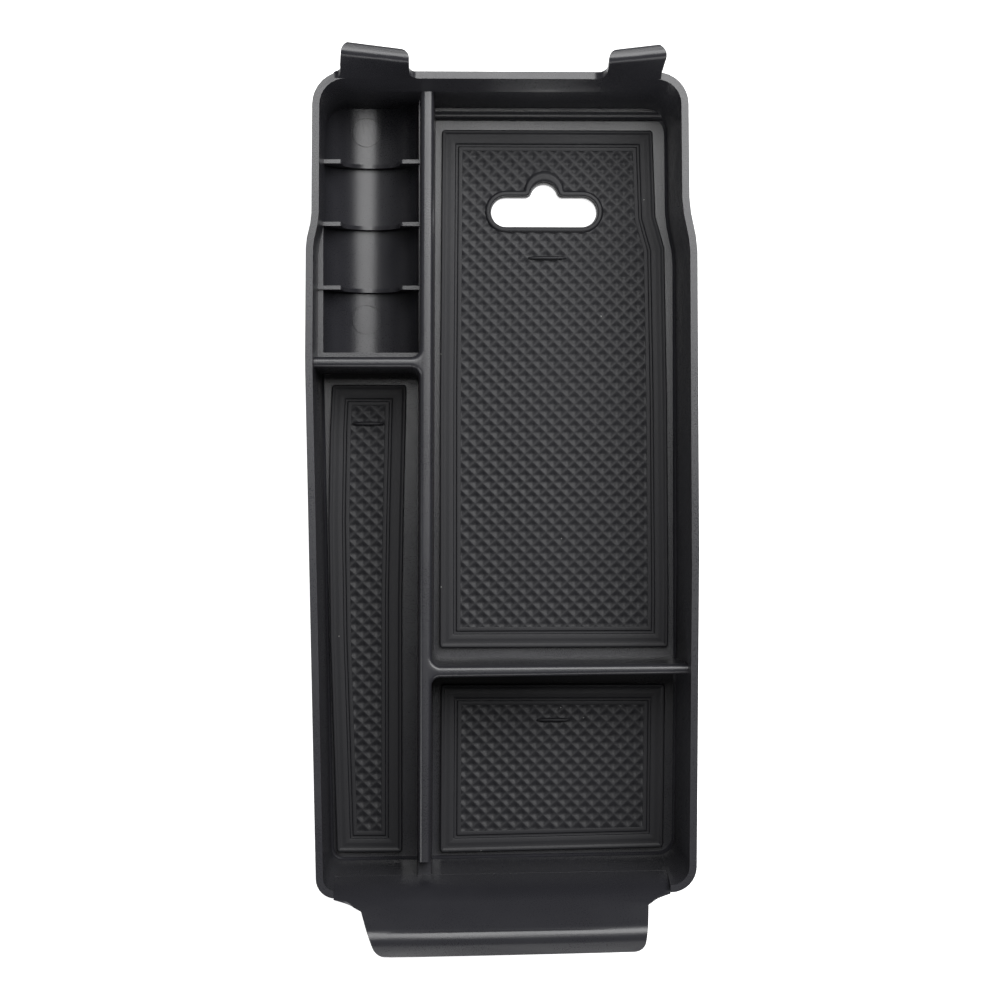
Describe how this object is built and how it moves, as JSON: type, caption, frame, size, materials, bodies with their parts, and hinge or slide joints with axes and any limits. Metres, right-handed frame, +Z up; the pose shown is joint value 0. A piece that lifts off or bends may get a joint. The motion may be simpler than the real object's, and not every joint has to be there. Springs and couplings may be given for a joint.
{
  "type": "center console organizer tray",
  "caption": "Black moulded car console organizer tray with a coin trough, a pen bay, two hook tabs, a rolled end lip and loose anti-slip mats with a diamond pattern",
  "frame": {"origin": "middle of the tray's flat underside, on the plane that rests on the bin floor", "axes": "+Y along the tray towards the two hook tabs, +X across it away from the coin trough, +Z up out of the compartments"},
  "size_m": [0.1296, 0.2974, 0.0564],
  "materials": {
    "tray_plastic": "fine satin moulded black plastic",
    "mat_rubber": "matte black rubber with a diamond pit pattern"
  },
  "bodies": {
    "root": {"tray_body": "tray_plastic", "main_mat": "mat_rubber", "small_mat": "mat_rubber", "pen_mat": "mat_rubber"}
  },
  "joints": []
}
